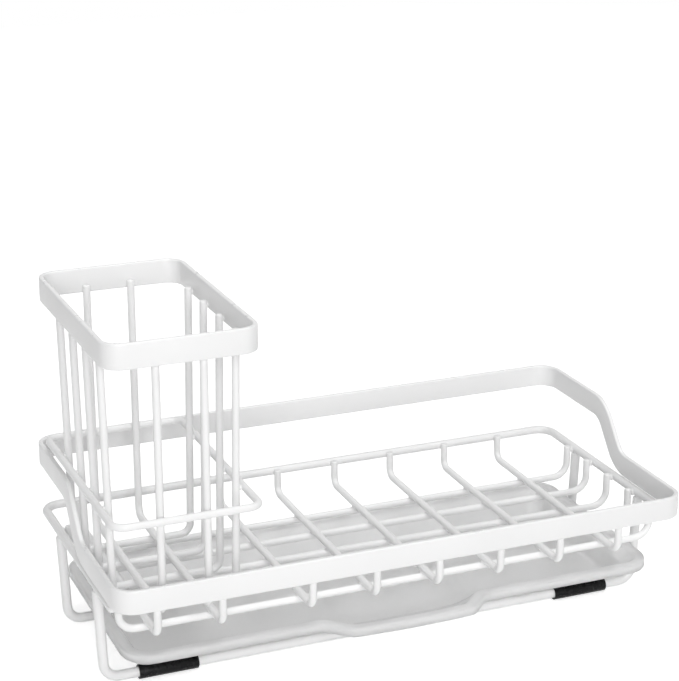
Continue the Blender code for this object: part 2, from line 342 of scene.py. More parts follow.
class GlossDrift(SurfaceEffect):
    """A roughness that wanders round a middle value."""

    name = "gloss_drift"
    inputs = (("Place", "NodeSocketVector", None), ("Smoothest", "NodeSocketFloat", 0.3),
              ("Roughest", "NodeSocketFloat", 0.4), ("Waves", "NodeSocketFloat", 120.0))
    outputs = (("Roughness", "NodeSocketFloat"),)
    NOISE_RANGE = (0.3, 0.7)

    @staticmethod
    def draw(bench: NodeBench, given: NodeOutputs, result: NodeInputs) -> None:
        """Maps a noise to the range of roughness."""
        wander = bench.noise(given["Place"], given["Waves"], 4.0)
        bench.feed(result["Roughness"],
                   bench.remap(wander, *GlossDrift.NOISE_RANGE, given["Smoothest"],
                               given["Roughest"]))


class EdgeRub(SurfaceEffect):
    """A patchy mask along edges, where handling polishes and greys a surface."""

    name = "edge_rub"
    inputs = (("Place", "NodeSocketVector", None), ("Edge", "NodeSocketFloat", 0.0),
              ("Waves", "NodeSocketFloat", 260.0))
    outputs = (("Mask", "NodeSocketFloat"),)
    NOISE_RANGE = (0.42, 0.62)

    @staticmethod
    def draw(bench: NodeBench, given: NodeOutputs, result: NodeInputs) -> None:
        """Breaks the edge mask up with noise."""
        patches = bench.remap(bench.noise(given["Place"], given["Waves"], 3.0),
                              *EdgeRub.NOISE_RANGE, 0.0, 1.0)
        bench.feed(result["Mask"], bench.math("MULTIPLY", patches, given["Edge"]))


# Finishes


@dataclass(frozen=True)
class Finish(ABC):
    """One finish of the caddy, as a procedural material."""

    name: str
    slot: str
    color: Color

    def material(self) -> Material:
        """Builds the material once.

        Returns:
            The material.
        """
        found = bpy.data.materials.get(self.name)
        if found is not None:
            return found
        material = bpy.data.materials.new(self.name)
        material.use_nodes = True
        shader = material.node_tree.nodes["Principled BSDF"]
        self.draw(NodeBench(material.node_tree), shader.inputs)
        return material

    @abstractmethod
    def draw(self, bench: NodeBench, shader: NodeInputs) -> None:
        """Fills the shader's inputs.

        Args:
            bench: The material's bench.
            shader: The inputs of its Principled shader.
        """

    @staticmethod
    def relief(bench: NodeBench, shader: NodeInputs, height: NodeSocket, depth: float) -> None:
        """Feeds a height to the shader's normal.

        Args:
            bench: The material's bench.
            shader: The inputs of its Principled shader.
            height: The height, from 0 to about 1.
            depth: What a height of 1 is, in metres.
        """
        bump = bench.add("ShaderNodeBump")
        bump.inputs["Distance"].default_value = depth
        bench.feed(bump.inputs["Height"], height)
        bench.feed(shader["Normal"], bump.outputs["Normal"])


@dataclass(frozen=True)
class PowderCoat(Finish):
    """White satin powder coat on steel."""

    name: str = "white_powder_coat"
    slot: str = "coated_steel"
    color: Color = (0.88, 0.88, 0.88, 1.0)
    rubbed: Color = (0.80, 0.80, 0.81, 1.0)
    wear: float = 0.12
    polish: float = 0.06
    ripple_depth: float = 0.000005

    def draw(self, bench: NodeBench, shader: NodeInputs) -> None:
        """Ripples, a slow change of tone, and edges that are rubbed a little."""
        place = bench.place_of()
        tone = ToneDrift.use(bench, Place=place, Color=self.color, Darkest=0.98, Waves=30.0)
        edge = bench.add("ShaderNodeAttribute", attribute_name=EDGE_LAYER)
        rub = EdgeRub.use(bench, Place=place, Edge=edge.outputs["Fac"], Waves=150.0)
        worn = bench.add("ShaderNodeMix", data_type="RGBA")
        bench.feed(worn.inputs["Factor"], bench.math("MULTIPLY", rub["Mask"], self.wear))
        bench.feed(worn.inputs["A"], tone["Color"])
        worn.inputs["B"].default_value = self.rubbed
        bench.feed(shader["Base Color"], worn.outputs["Result"])
        gloss = GlossDrift.use(bench, Place=place, Smoothest=0.30, Roughest=0.38, Waves=90.0)
        polished = bench.math("MULTIPLY_ADD", rub["Mask"], -self.polish, gloss["Roughness"])
        bench.feed(shader["Roughness"], polished)
        ripple = CoatRipple.use(bench, Place=place, Waves=1300.0)
        self.relief(bench, shader, ripple["Height"], self.ripple_depth)


@dataclass(frozen=True)
class SleeveRubber(Finish):
    """Black rubber tube with fine lines along it."""

    name: str = "black_rubber"
    slot: str = "foot_rubber"
    color: Color = (0.006, 0.006, 0.0065, 1.0)
    line_stretch: Point = (0.04, 1.0, 1.0)
    line_depth: float = 0.00001
    shine: float = 0.16

    def draw(self, bench: NodeBench, shader: NodeInputs) -> None:
        """Extrusion lines, faint dust and a half gloss."""
        place = bench.place_of()
        along = bench.place_of(self.line_stretch)
        tone = ToneDrift.use(bench, Place=place, Color=self.color, Darkest=0.72, Waves=300.0)
        bench.feed(shader["Base Color"], tone["Color"])
        gloss = GlossDrift.use(bench, Place=place, Smoothest=0.22, Roughest=0.32, Waves=420.0)
        bench.feed(shader["Roughness"], gloss["Roughness"])
        lines = CoatRipple.use(bench, Place=along, Waves=2400.0)
        self.relief(bench, shader, lines["Height"], self.line_depth)
        shader["Specular IOR Level"].default_value = self.shine


@dataclass(frozen=True)
class FrostedPlastic(Finish):
    """Pale grey plastic with a frosted skin."""

    name: str = "frosted_plastic"
    slot: str = "tray_plastic"
    color: Color = (0.91, 0.91, 0.91, 1.0)
    frost_depth: float = 0.00003
    see_through: float = 0.48
    refraction: float = 1.49

    def draw(self, bench: NodeBench, shader: NodeInputs) -> None:
        """A fine frost, and broad soft differences of tone from the moulding."""
        place = bench.place_of()
        tone = ToneDrift.use(bench, Place=place, Color=self.color, Darkest=0.95, Waves=22.0)
        bench.feed(shader["Base Color"], tone["Color"])
        gloss = GlossDrift.use(bench, Place=place, Smoothest=0.34, Roughest=0.50, Waves=700.0)
        bench.feed(shader["Roughness"], gloss["Roughness"])
        frost = CoatRipple.use(bench, Place=place, Waves=1500.0)
        self.relief(bench, shader, frost["Height"], self.frost_depth)
        shader["Transmission Weight"].default_value = self.see_through
        shader["IOR"].default_value = self.refraction


# Forming


def rounded_rectangle(shape: BMesh, place: Matrix, width: float, height: float, radius: float,
                      steps: int) -> list[BMEdge]:
    """Draws a rectangle with rounded corners, as an outline.

    Args:
        shape: The empty mesh to draw in.
        place: Where its middle lies, with X along its width and Y along its height.
        width: Its width.
        height: Its height.
        radius: The radius of its corners.
        steps: The straight pieces in each corner.

    Returns:
        Its edges.
    """
    stretch = Matrix.Diagonal((width, height, 1.0, 1.0))
    corners = bmesh.ops.create_grid(shape, x_segments=1, y_segments=1, size=0.5,
                                    matrix=place @ stretch)["verts"]
    bmesh.ops.bevel(shape, geom=corners, offset=radius, offset_type="OFFSET", segments=steps,
                    profile=0.5, affect="VERTICES", material=-1)
    bmesh.ops.delete(shape, geom=list(shape.faces), context="FACES_ONLY")
    return list(shape.edges)


def extruded(shape: BMesh, edges: Sequence[BMEdge]) -> tuple[list[BMVert], list[BMEdge]]:
    """Draws faces out of some edges, still without length.

    Args:
        shape: The mesh.
        edges: The edges.

    Returns:
        The vertices and the edges at the far side of the faces.
    """
    made = bmesh.ops.extrude_edge_only(shape, edges=edges)["geom"]
    verts = [item for item in made if isinstance(item, BMVert)]
    fresh = set(verts)
    return verts, [item for item in made
                   if isinstance(item, BMEdge) and set(item.verts) <= fresh]


@dataclass(frozen=True)
class RoundSection:
    """The section of a wire."""

    diameter: float
    sides: int = 24

    def draw(self, shape: BMesh, place: Matrix) -> list[BMEdge]:
        """Draws the section.

        Args:
            shape: The empty mesh to draw in.
            place: Where it lies, with Z along the wire.

        Returns:
            Its edges.
        """
        bmesh.ops.create_circle(shape, cap_ends=False, segments=self.sides,
                                radius=self.diameter / 2, matrix=place)
        return list(shape.edges)


@dataclass(frozen=True)
class FlatSection:
    """The section of a strip that stands on edge, with rounded edges."""

    thickness: float
    height: float
    edge_radius: float = 0.00065
    edge_steps: int = 4
    worn_share: float = 0.9  # of the rounding, which the wear reaches over

    def draw(self, shape: BMesh, place: Matrix) -> list[BMEdge]:
        """Draws the section and marks its edges for wear.

        Args:
            shape: The empty mesh to draw in.
            place: Where it lies, with Y up the strip and Z along it.

        Returns:
            Its edges.
        """
        rounded_rectangle(shape, place, self.thickness, self.height, self.edge_radius,
                          self.edge_steps)
        layer = shape.verts.layers.float.new(EDGE_LAYER)
        inverse = place.inverted()
        limit = self.height / 2 - self.edge_radius * self.worn_share
        for vert in shape.verts:
            vert[layer] = 1.0 if abs((inverse @ vert.co).y) > limit else 0.0
        return list(shape.edges)


class FormingBench:
    """Carries a section along a path by feeding and bending, as wire and strip are formed."""

    STEP_ANGLE = math.radians(9)  # of each straight piece in a bend
    LEAST_STEPS = 3
    CAP_STEPS = 3
    JOINING_REACH = 0.000005
    STEEP = 0.9  # the rise of a heading from which the section is set up by Y

    def __init__(self, section: RoundSection | FlatSection, start: Vector,
                 heading: Vector) -> None:
        """Draws the section at the start.

        Args:
            section: The section to carry.
            start: The path's first point.
            heading: The way that the path sets off.
        """
        self.shape = bmesh.new()
        self.heading = heading.normalized()
        steep = abs(self.heading.dot(UP)) >= self.STEEP
        guide = Vector((0.0, 1.0, 0.0)) if steep else UP
        side = guide.cross(self.heading).normalized()
        up = self.heading.cross(side)
        place = Matrix.Translation(start) @ Matrix((side, up, self.heading)).transposed().to_4x4()
        self.first = section.draw(self.shape, place)
        self.last = self.first
        self.point = start.copy()

    @staticmethod
    def ends_of(edges: Sequence[BMEdge]) -> list[BMVert]:
        """Returns the vertices of some edges, each once, in an order that no run changes."""
        return list(dict.fromkeys(vert for edge in edges for vert in edge.verts))

    def feed(self, length: float) -> None:
        """Runs straight on.

        Args:
            length: How far.
        """
        verts, self.last = extruded(self.shape, self.last)
        bmesh.ops.translate(self.shape, verts=verts, vec=self.heading * length)
        self.point = self.point + self.heading * length

    def bend(self, axis: Vector, angle: float, radius: float) -> None:
        """Turns along an arc.

        Args:
            axis: The axis to turn about, square to the heading.
            angle: How far to turn, in radians.
            radius: The arc's radius.
        """
        centre = self.point + axis.cross(self.heading) * radius
        steps = max(self.LEAST_STEPS, round(angle / self.STEP_ANGLE))
        made = bmesh.ops.spin(self.shape, geom=self.last + self.ends_of(self.last), cent=centre,
                              axis=axis, angle=angle, steps=steps, use_merge=False,
                              use_duplicate=False)["geom_last"]
        turn = Matrix.Rotation(angle, 3, axis)
        self.last = [item for item in made if isinstance(item, BMEdge)]
        self.point = centre + turn @ (self.point - centre)
        self.heading = (turn @ self.heading).normalized()

    def turn_towards(self, corner: Vector, after: Vector, radius: float) -> None:
        """Feeds up to a corner of the path and bends round it.

        Args:
            corner: The corner.
            after: The point that the path makes for from there.
            radius: The radius of the bend.
        """
        onward = (after - corner).normalized()
        angle = self.heading.angle(onward)
        reach = radius * math.tan(angle / 2)
        self.feed((corner - self.point).length - reach)
        self.bend(self.heading.cross(onward).normalized(), angle, radius)

    def close(self) -> None:
        """Joins the last section to the first."""
        verts = self.ends_of(self.first) + self.ends_of(self.last)
        bmesh.ops.remove_doubles(self.shape, verts=verts, dist=self.JOINING_REACH)

    def cap(self, rounding: float) -> None:
        """Closes both ends and rounds them.

        Args:
            rounding: How far back from the end the rounding starts.
        """
        for ring in (self.first, self.last):
            bmesh.ops.edgeloop_fill(self.shape, edges=ring)
        bmesh.ops.bevel(self.shape, geom=self.first + self.last, offset=rounding,
                        offset_type="OFFSET", segments=self.CAP_STEPS, profile=0.5,
                        affect="EDGES", material=-1)


def smooth_mesh(shape: BMesh, name: str) -> Mesh:
    """Turns a bmesh into a smooth mesh.

    Args:
        shape: The bmesh, which is freed.
        name: The mesh's name.

    Returns:
        The mesh.
    """
    mesh = bpy.data.meshes.new(name)
    shape.to_mesh(mesh)
    shape.free()
    mesh.shade_smooth()
    mesh.set_sharp_from_angle(angle=SHARP_ANGLE)
    return mesh


def close_mesh(shape: BMesh, name: str) -> Mesh:
    """Turns the faces of a closed bmesh outwards and makes it a smooth mesh."""
    bmesh.ops.recalc_face_normals(shape, faces=list(shape.faces))
    return smooth_mesh(shape, name)


def open_path(name: str, section: RoundSection, points: Sequence[Vector], radius: float,
              rounding: float = 0.0005) -> Mesh:
    """Forms a wire with two ends along a path.

    Args:
        name: The mesh's name.
        section: The wire's section.
        points: The path's ends and corners.
        radius: The radius of its bends.
        rounding: The rounding of its ends.

    Returns:
        The mesh.
    """
    bench = FormingBench(section, points[0], points[1] - points[0])
    for corner, after in zip(points[1:-1], points[2:]):
        bench.turn_towards(corner, after, radius)
    bench.feed((points[-1] - bench.point).length)
    bench.cap(rounding)
    return close_mesh(bench.shape, name)


def closed_path(name: str, section: RoundSection | FlatSection, corners: Sequence[Vector],
                radii: Sequence[float]) -> Mesh:
    """Forms a ring along a closed path.

    Args:
        name: The mesh's name.
        section: The section to carry round.
        corners: The path's corners.
        radii: The radius of the bend at each corner.

    Returns:
        The mesh.
    """
    start = (corners[-1] + corners[0]) / 2
    bench = FormingBench(section, start, corners[0] - start)
    for index, (corner, radius) in enumerate(zip(corners, radii)):
        bench.turn_towards(corner, corners[(index + 1) % len(corners)], radius)
    bench.feed((start - bench.point).length)
    bench.close()
    return close_mesh(bench.shape, name)


def set_piece(name: str, mesh: Mesh, finish: Finish, body: Body,
              nodes: Sequence[str] = ()) -> Object:
    """Puts a finished piece in the scene and ties it to the frame.

    Args:
        name: The piece's name.
        mesh: Its mesh, in place.
        finish: Its finish.
        body: The body that it moves with.
        nodes: The solids that it stands for.

    Returns:
        The piece.
    """
    piece = bpy.data.objects.new(name, mesh)
    mesh.materials.append(finish.material())
    bpy.context.scene.collection.objects.link(piece)
    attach(piece, body.value)
    if nodes:
        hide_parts(*nodes)
    LOG.info("piece %s: %d faces, %s, moves with %s", name, len(mesh.polygons),
             finish.name, body.value)
    return piece


@dataclass
class BentWire:
    """A U-shaped wire: down, level, and up again, with tops that may lean outwards."""

    node: str
    run: Run
    diameter: float
    bend_radius: float
    body: Body
    far_top: float | None = None
    lean: float = 0.0

    def path(self) -> list[Vector]:
        """Reads the wire's path from its solid.

        Returns:
            Its two ends and two corners.
        """
        low, high = solid_box(self.node)
        inset = self.diameter / 2
        level = low.z + inset
        far_top = high.z if self.far_top is None else self.far_top
        x, y, _ = solid_centre(self.node)
        if self.run is Run.ACROSS:
            near, far = Vector((low.x + inset, y, 0.0)), Vector((high.x - inset, y, 0.0))
        else:
            near, far = Vector((x, low.y + inset, 0.0)), Vector((x, high.y - inset, 0.0))
        inward = (far - near).normalized() * self.lean
        return [near + UP * high.z, near + inward + UP * level, far - inward + UP * level,
                far + UP * far_top]

    def build(self, finish: Finish) -> Object:
        """Forms and dresses the wire.

        Args:
            finish: Its finish.

        Returns:
            The piece.
        """
        name = f"{self.node}_bar"
        mesh = open_path(name, RoundSection(self.diameter), self.path(), self.bend_radius)
        return set_piece(name, mesh, finish, self.body, [self.node])


# Sub-assemblies


@dataclass
class MainRim:
    """The flat strip that is low at the front and sweeps up along both sides."""

    finish: Finish
    thickness: float = 0.0020
    height: float = 0.0095
    corner_radius: float = 0.0080
    rise_start: float = 0.053
    rise_run: float = 0.0155
    rise_radius: float = 0.013

    def build(self) -> Object:
        """Forms the rim as one closed strip.

        Returns:
            The piece.
        """
        low, high = solid_box("main_rim")
        left, right, near, far = solid_sides("main_rim", self.thickness / 2)
        front_z, back_z = low.z + self.height / 2, high.z - self.height / 2
        foot, head = low.y + self.rise_start, low.y + self.rise_start + self.rise_run
        corners = [Vector(point) for point in (
            (left, near, front_z), (right, near, front_z), (right, foot, front_z),
            (right, head, back_z), (right, far, back_z), (left, far, back_z),
            (left, head, back_z), (left, foot, front_z))]
        turn, rise = self.corner_radius, self.rise_radius
        radii = [turn, turn, rise, rise, turn, turn, rise, rise]
        mesh = closed_path("main_rim_strip", FlatSection(self.thickness, self.height),
                           corners, radii)
        return set_piece("main_rim_strip", mesh, self.finish, Body.FRAME, ["main_rim"])


@dataclass
class Rail:
    """The round wire under the rim, along both sides and the back."""

    finish: Finish
    diameter: float = 0.0036
    corner_radius: float = 0.0070
    end_rounding: float = 0.0014

    def build(self) -> Object:
        """Forms the rail.

        Returns:
            The piece.
        """
        left, right, _, far = solid_sides("rail", self.diameter / 2)
        near, level = solid_box("rail")[0].y, solid_centre("rail").z
        points = [Vector(point) for point in (
            (left, near, level), (left, far, level), (right, far, level), (right, near, level))]
        mesh = open_path("rail_wire", RoundSection(self.diameter), points, self.corner_radius,
                         self.end_rounding)
        return set_piece("rail_wire", mesh, self.finish, Body.FRAME, ["rail"])


@dataclass
class BasketFloor:
    """The wires of the main basket's floor, in two layers."""

    finish: Finish
    diameter: float = 0.0030
    long_bend: float = 0.0065
    cross_bend: float = 0.0040
    long_nodes: tuple[str, ...] = numbered("floor_long_wire", 5)
    cross_nodes: tuple[str, ...] = numbered("floor_cross_wire", 8)

    def build(self) -> list[Object]:
        """Forms both layers and returns the pieces."""
        back_top = solid_centre("rail").z + self.diameter / 2
        wires = [BentWire(node, Run.ACROSS, self.diameter, self.long_bend, Body.FRAME)
                 for node in self.long_nodes]
        wires += [BentWire(node, Run.INTO, self.diameter, self.cross_bend, Body.FRAME, back_top)
                  for node in self.cross_nodes]
        return [wire.build(self.finish) for wire in wires]


@dataclass
class LegFrames:
    """The two leg frames of thicker wire."""

    finish: Finish
    diameter: float = 0.0040
    bend_radius: float = 0.0062
    lean: float = 0.0016
    nodes: tuple[str, ...] = ("front_leg_frame", "back_leg_frame")

    def build(self) -> list[Object]:
        """Forms both frames and returns them."""
        frames = [BentWire(node, Run.ACROSS, self.diameter, self.bend_radius, Body.FRAME,
                           lean=self.lean) for node in self.nodes]
        return [frame.build(self.finish) for frame in frames]


@dataclass
class FootSleeves:
    """The four rubber sleeves on the feet."""

    finish: Finish
    bore: float = 0.0022
    outer_rounding: float = 0.00015
    rounding_steps: int = 4
    steps: int = 48

    def build(self) -> list[Object]:
        """Turns a sleeve for each place and returns them."""
        return [self.sleeve(f"{depth}_{side}_sleeve")
                for depth in ("front", "back") for side in ("left", "right")]

    def sleeve(self, node: str) -> Object:
        """Turns one sleeve about its foot.

        Args:
            node: The solid that it stands for.

        Returns:
            The piece.
        """
        low, high = solid_box(node)
        centre, wall = solid_centre(node), (high.z - low.z) / 2 - self.bore
        shape = bmesh.new()
        middle = Matrix.Translation(centre + UP * (self.bore + wall / 2))
        rounded_rectangle(shape, middle @ Matrix.Rotation(math.pi / 2, 4, "X"),
                          high.x - low.x, wall, self.outer_rounding, self.rounding_steps)
        bmesh.ops.spin(shape, geom=list(shape.verts) + list(shape.edges), cent=centre,
                       axis=(1.0, 0.0, 0.0), angle=2 * math.pi, steps=self.steps,
                       use_merge=True)
        name = f"{node}_tube"
        return set_piece(name, close_mesh(shape, name), self.finish, Body.FRAME, [node])


@dataclass
class DripTray:
    """The moulded tray with its rolled rim, finger lip and sunken floor."""

    finish: Finish
    wall: float = 0.0012
    corner_radius: float = 0.012
    corner_steps: int = 12
    least_radius: float = 0.006
    front_cuts: int = 190
    straight_setback: float = 0.0100
    lip_reach: float = 0.0078
    lip_crown: float = 0.0022
    lip_outer: float = 0.0370
    lip_inner: float = 0.0245
    lip_narrowing: float = 0.003
    rounding_steps: int = 5
    merging_reach: float = 0.00001
    floor_inset: float = 0.0015
    levels: list["TrayLevel"] = field(default_factory=lambda: [
        TrayLevel(0.0, 0.0, 0.0, -0.0036, 1.0, 0.0),
        TrayLevel(0.0, 0.0, 0.0, 0.0, 1.0, 0.0010),
        TrayLevel(0.0040, 0.0040, 0.0040, 0.0, 1.0, 0.0007),
        TrayLevel(0.0050, 0.0050, 0.0050, -0.0010, 1.0, 0.0004),
        TrayLevel(0.0075, 0.0100, 0.0075, -0.0055, 0.85, 0.0012),
        TrayLevel(0.0090, 0.0220, 0.0100, -0.0145, 0.0, 0.0018),
    ])

    def build(self) -> Object:
        """Moulds the tray.

        Returns:
            The piece.
        """
        shape = bmesh.new()
        layer = shape.edges.layers.int.new("level")
        ring = self.outline(shape)
        for number, level in enumerate(self.levels, start=1):
            verts = FormingBench.ends_of(ring)
            following = ring
            if number < len(self.levels):
                _, following = extruded(shape, ring)
            for edge in ring:
                edge[layer] = number
            for vert in verts:
                vert.co = self.at_level(vert.co, level)
            ring = following
        bmesh.ops.edgeloop_fill(shape, edges=ring)
        for number, level in enumerate(self.levels, start=1):
            if level.rounding:
                edges = [edge for edge in shape.edges if edge[layer] == number]
                bmesh.ops.bevel(shape, geom=edges, offset=level.rounding,
                                offset_type="OFFSET", segments=self.rounding_steps,
                                profile=0.5, affect="EDGES", material=-1)
        bmesh.ops.remove_doubles(shape, verts=list(shape.verts), dist=self.merging_reach)
        bmesh.ops.recalc_face_normals(shape, faces=list(shape.faces))
        floor = max(shape.faces, key=lambda face: face.calc_area())
        if floor.normal.z < 0:
            bmesh.ops.reverse_faces(shape, faces=list(shape.faces))
        bmesh.ops.inset_region(shape, faces=[floor], thickness=self.floor_inset,
                               use_even_offset=True)
        name = "drip_tray_moulding"
        tray = set_piece(name, smooth_mesh(shape, name), self.finish, Body.DRIP_TRAY,
                         ["drip_tray"])
        skin = tray.modifiers.new("wall", "SOLIDIFY")
        skin.thickness = self.wall
        skin.offset = -1
        skin.use_even_offset = True
        return tray

    @cached_property
    def sides(self) -> tuple[float, float, float, float]:
        """Returns the left, right, near and far side of the tray without its lip."""
        left, right, near, far = solid_sides("drip_tray")
        return left, right, near + self.straight_setback, far

    def outline(self, shape: BMesh) -> list[BMEdge]:
        """Draws the tray's outer edge without the lip, as a rounded rectangle.

        Args:
            shape: The empty mesh to draw in.

        Returns:
            Its edges.
        """
        left, right, near, far = self.sides
        middle = Matrix.Translation(((left + right) / 2, (near + far) / 2, 0.0))
        edges = rounded_rectangle(shape, middle, right - left, far - near, self.corner_radius,
                                  self.corner_steps)
        front = [edge for edge in edges
                 if max(vert.co.y for vert in edge.verts) < near + SAME_PLACE]
        bmesh.ops.subdivide_edges(shape, edges=front, cuts=self.front_cuts)
        return list(shape.edges)

    def at_level(self, point: Vector, level: "TrayLevel") -> Vector:
        """Moves a point of the outer edge to a level.

        Args:
            point: The point on the outer edge, without the lip.
            level: The level.

        Returns:
            The point's place on the level, with the lip.
        """
        left, right, near, far = self.sides
        top = solid_box("drip_tray")[1].z
        radius = max(self.corner_radius - level.side, self.least_radius)
        half = (right - left) / 2
        new_half = half - level.side
        new_near, new_far = near + level.near, far - level.far
        flat, new_flat = half - self.corner_radius, new_half - radius
        x = math.copysign(new_flat + max(abs(point.x) - flat, 0.0) * radius
                          / self.corner_radius, point.x)
        if abs(point.x) < flat:
            x = point.x if abs(point.x) < self.lip_outer else math.copysign(
                self.lip_outer + (abs(point.x) - self.lip_outer)
                * (new_flat - self.lip_outer) / (flat - self.lip_outer), point.x)
        if point.y < (near + far) / 2:
            y = new_near + (point.y - near) * radius / self.corner_radius
        else:
            y = new_far - (far - point.y) * radius / self.corner_radius
        if abs(point.y - near) < SAME_PLACE:
            y -= level.reach * self.lip(x, level.near)
        return Vector((x, y, top + level.drop))

    def lip(self, x: float, inset: float) -> float:
        """Tells how far the lip stands out.

        Args:
            x: The place along the front.
            inset: How far this level lies in from the tray's edge.

        Returns:
            The reach to the front.
        """
        shift = min(inset / 2, self.lip_narrowing)
        span = (self.lip_outer - shift - abs(x)) / (self.lip_outer - self.lip_inner)
        share = min(max(span, 0.0), 1.0)
        share = share * share * (3 - 2 * share)
        crown = max(0.0, 1.0 - (x / self.lip_outer) ** 2)
        return share * (self.lip_reach + self.lip_crown * crown)


@dataclass(frozen=True)
class TrayLevel:
    """One level of the tray, measured in from its outer edge and down from its top.

    The fields are the insets at the sides, the front and the back, the height, the part
    of the lip's reach that it follows, and the rounding along it.
    """

    side: float
    near: float
    far: float
    drop: float
    reach: float
    rounding: float


@dataclass
class BrushBasket:
    """The tall basket for the brush: rim strip, ring and U-shaped wires."""

    finish: Finish
    diameter: float = 0.0030
    bend_radius: float = 0.0045
    taper: float = 0.0018
    ring_radius: float = 0.0050
    rim_thickness: float = 0.0020
    rim_corner: float = 0.0070
    width_nodes: tuple[str, ...] = numbered("brush_width_wire", 4)
    depth_nodes: tuple[str, ...] = numbered("brush_depth_wire", 2)

    def build(self) -> list[Object]:
        """Forms the basket.

        Returns:
            The pieces.
        """
        low, high = solid_box("brush_rim")
        section = FlatSection(self.rim_thickness, high.z - low.z)
        pieces = [
            self.ring("brush_rim", section, self.rim_thickness / 2, self.rim_corner),
            self.ring("brush_ring", RoundSection(self.diameter), self.diameter / 2,
                      self.ring_radius),
        ]
        wires = [BentWire(node, Run.ACROSS, self.diameter, self.bend_radius,
                          Body.BRUSH_BASKET, lean=self.taper) for node in self.width_nodes]
        wires += [BentWire(node, Run.INTO, self.diameter, self.bend_radius,
                           Body.BRUSH_BASKET) for node in self.depth_nodes]
        return pieces + [wire.build(self.finish) for wire in wires]

    def ring(self, node: str, section: RoundSection | FlatSection, inset: float,
             radius: float) -> Object:
        """Forms a level ring.

        Args:
            node: The solid that it stands for.
            section: Its section.
            inset: From its outer face in to its centre line.
            radius: The radius of its corners.

        Returns:
            The piece.
        """
        left, right, near, far = solid_sides(node, inset)
        level = solid_centre(node).z
        corners = [Vector(point) for point in ((left, near, level), (right, near, level),
                                               (right, far, level), (left, far, level))]
        name = f"{node}_band"
        mesh = closed_path(name, section, corners, [radius] * 4)
        return set_piece(name, mesh, self.finish, Body.BRUSH_BASKET, [node])


class Bead(Enum):
    """The size of each kind of weld along its axes."""

    CROSSING = (0.0024, 0.0024, 0.0016)
    RAIL_SIDE = (0.0018, 0.0026, 0.0030)
    RAIL_BACK = (0.0026, 0.0016, 0.0030)
    RIM_FRONT = (0.0026, 0.0014, 0.0030)
    LEG_TOP = (0.0030, 0.0032, 0.0016)
    RING_SIDE = (0.0014, 0.0022, 0.0022)
    RING_END = (0.0022, 0.0014, 0.0022)
    LAP_SIDE = (0.0009, 0.0018, 0.0022)
    LAP_END = (0.0018, 0.0009, 0.0022)


@dataclass
class WeldSpots:
    """The small welds where wires cross or meet, with the coat flowed over them."""

    name: str
    body: Body
    finish: Finish
    segments: int = 12
    rings: int = 8
    spots: list[tuple[Vector, Bead]] = field(default_factory=list)

    def add(self, x: float, y: float, z: float, bead: Bead) -> None:
        """Notes one weld by its middle."""
        self.spots.append((Vector((x, y, z)), bead))

    def crossings(self, across: Sequence[str], into: Sequence[str], wire: float) -> None:
        """Notes a weld wherever two layers of wires cross.

        Args:
            across: The wires that run left to right.
            into: The wires that run front to back.
            wire: The diameter of the wires.
        """
        for first in across:
            for second in into:
                top = min(solid_box(first)[0].z, solid_box(second)[0].z) + wire
                self.add(solid_centre(second).x, solid_centre(first).y, top + GAP / 2,
                         Bead.CROSSING)

    def build(self) -> Object:
        """Makes all the welds as one piece and returns it."""
        shape = bmesh.new()
        for place, bead in self.spots:
            bmesh.ops.create_uvsphere(shape, u_segments=self.segments, v_segments=self.rings,
                                      radius=0.5, matrix=Matrix.Translation(place)
                                      @ Matrix.Diagonal((*bead.value, 1.0)))
        return set_piece(self.name, close_mesh(shape, self.name), self.finish, self.body)


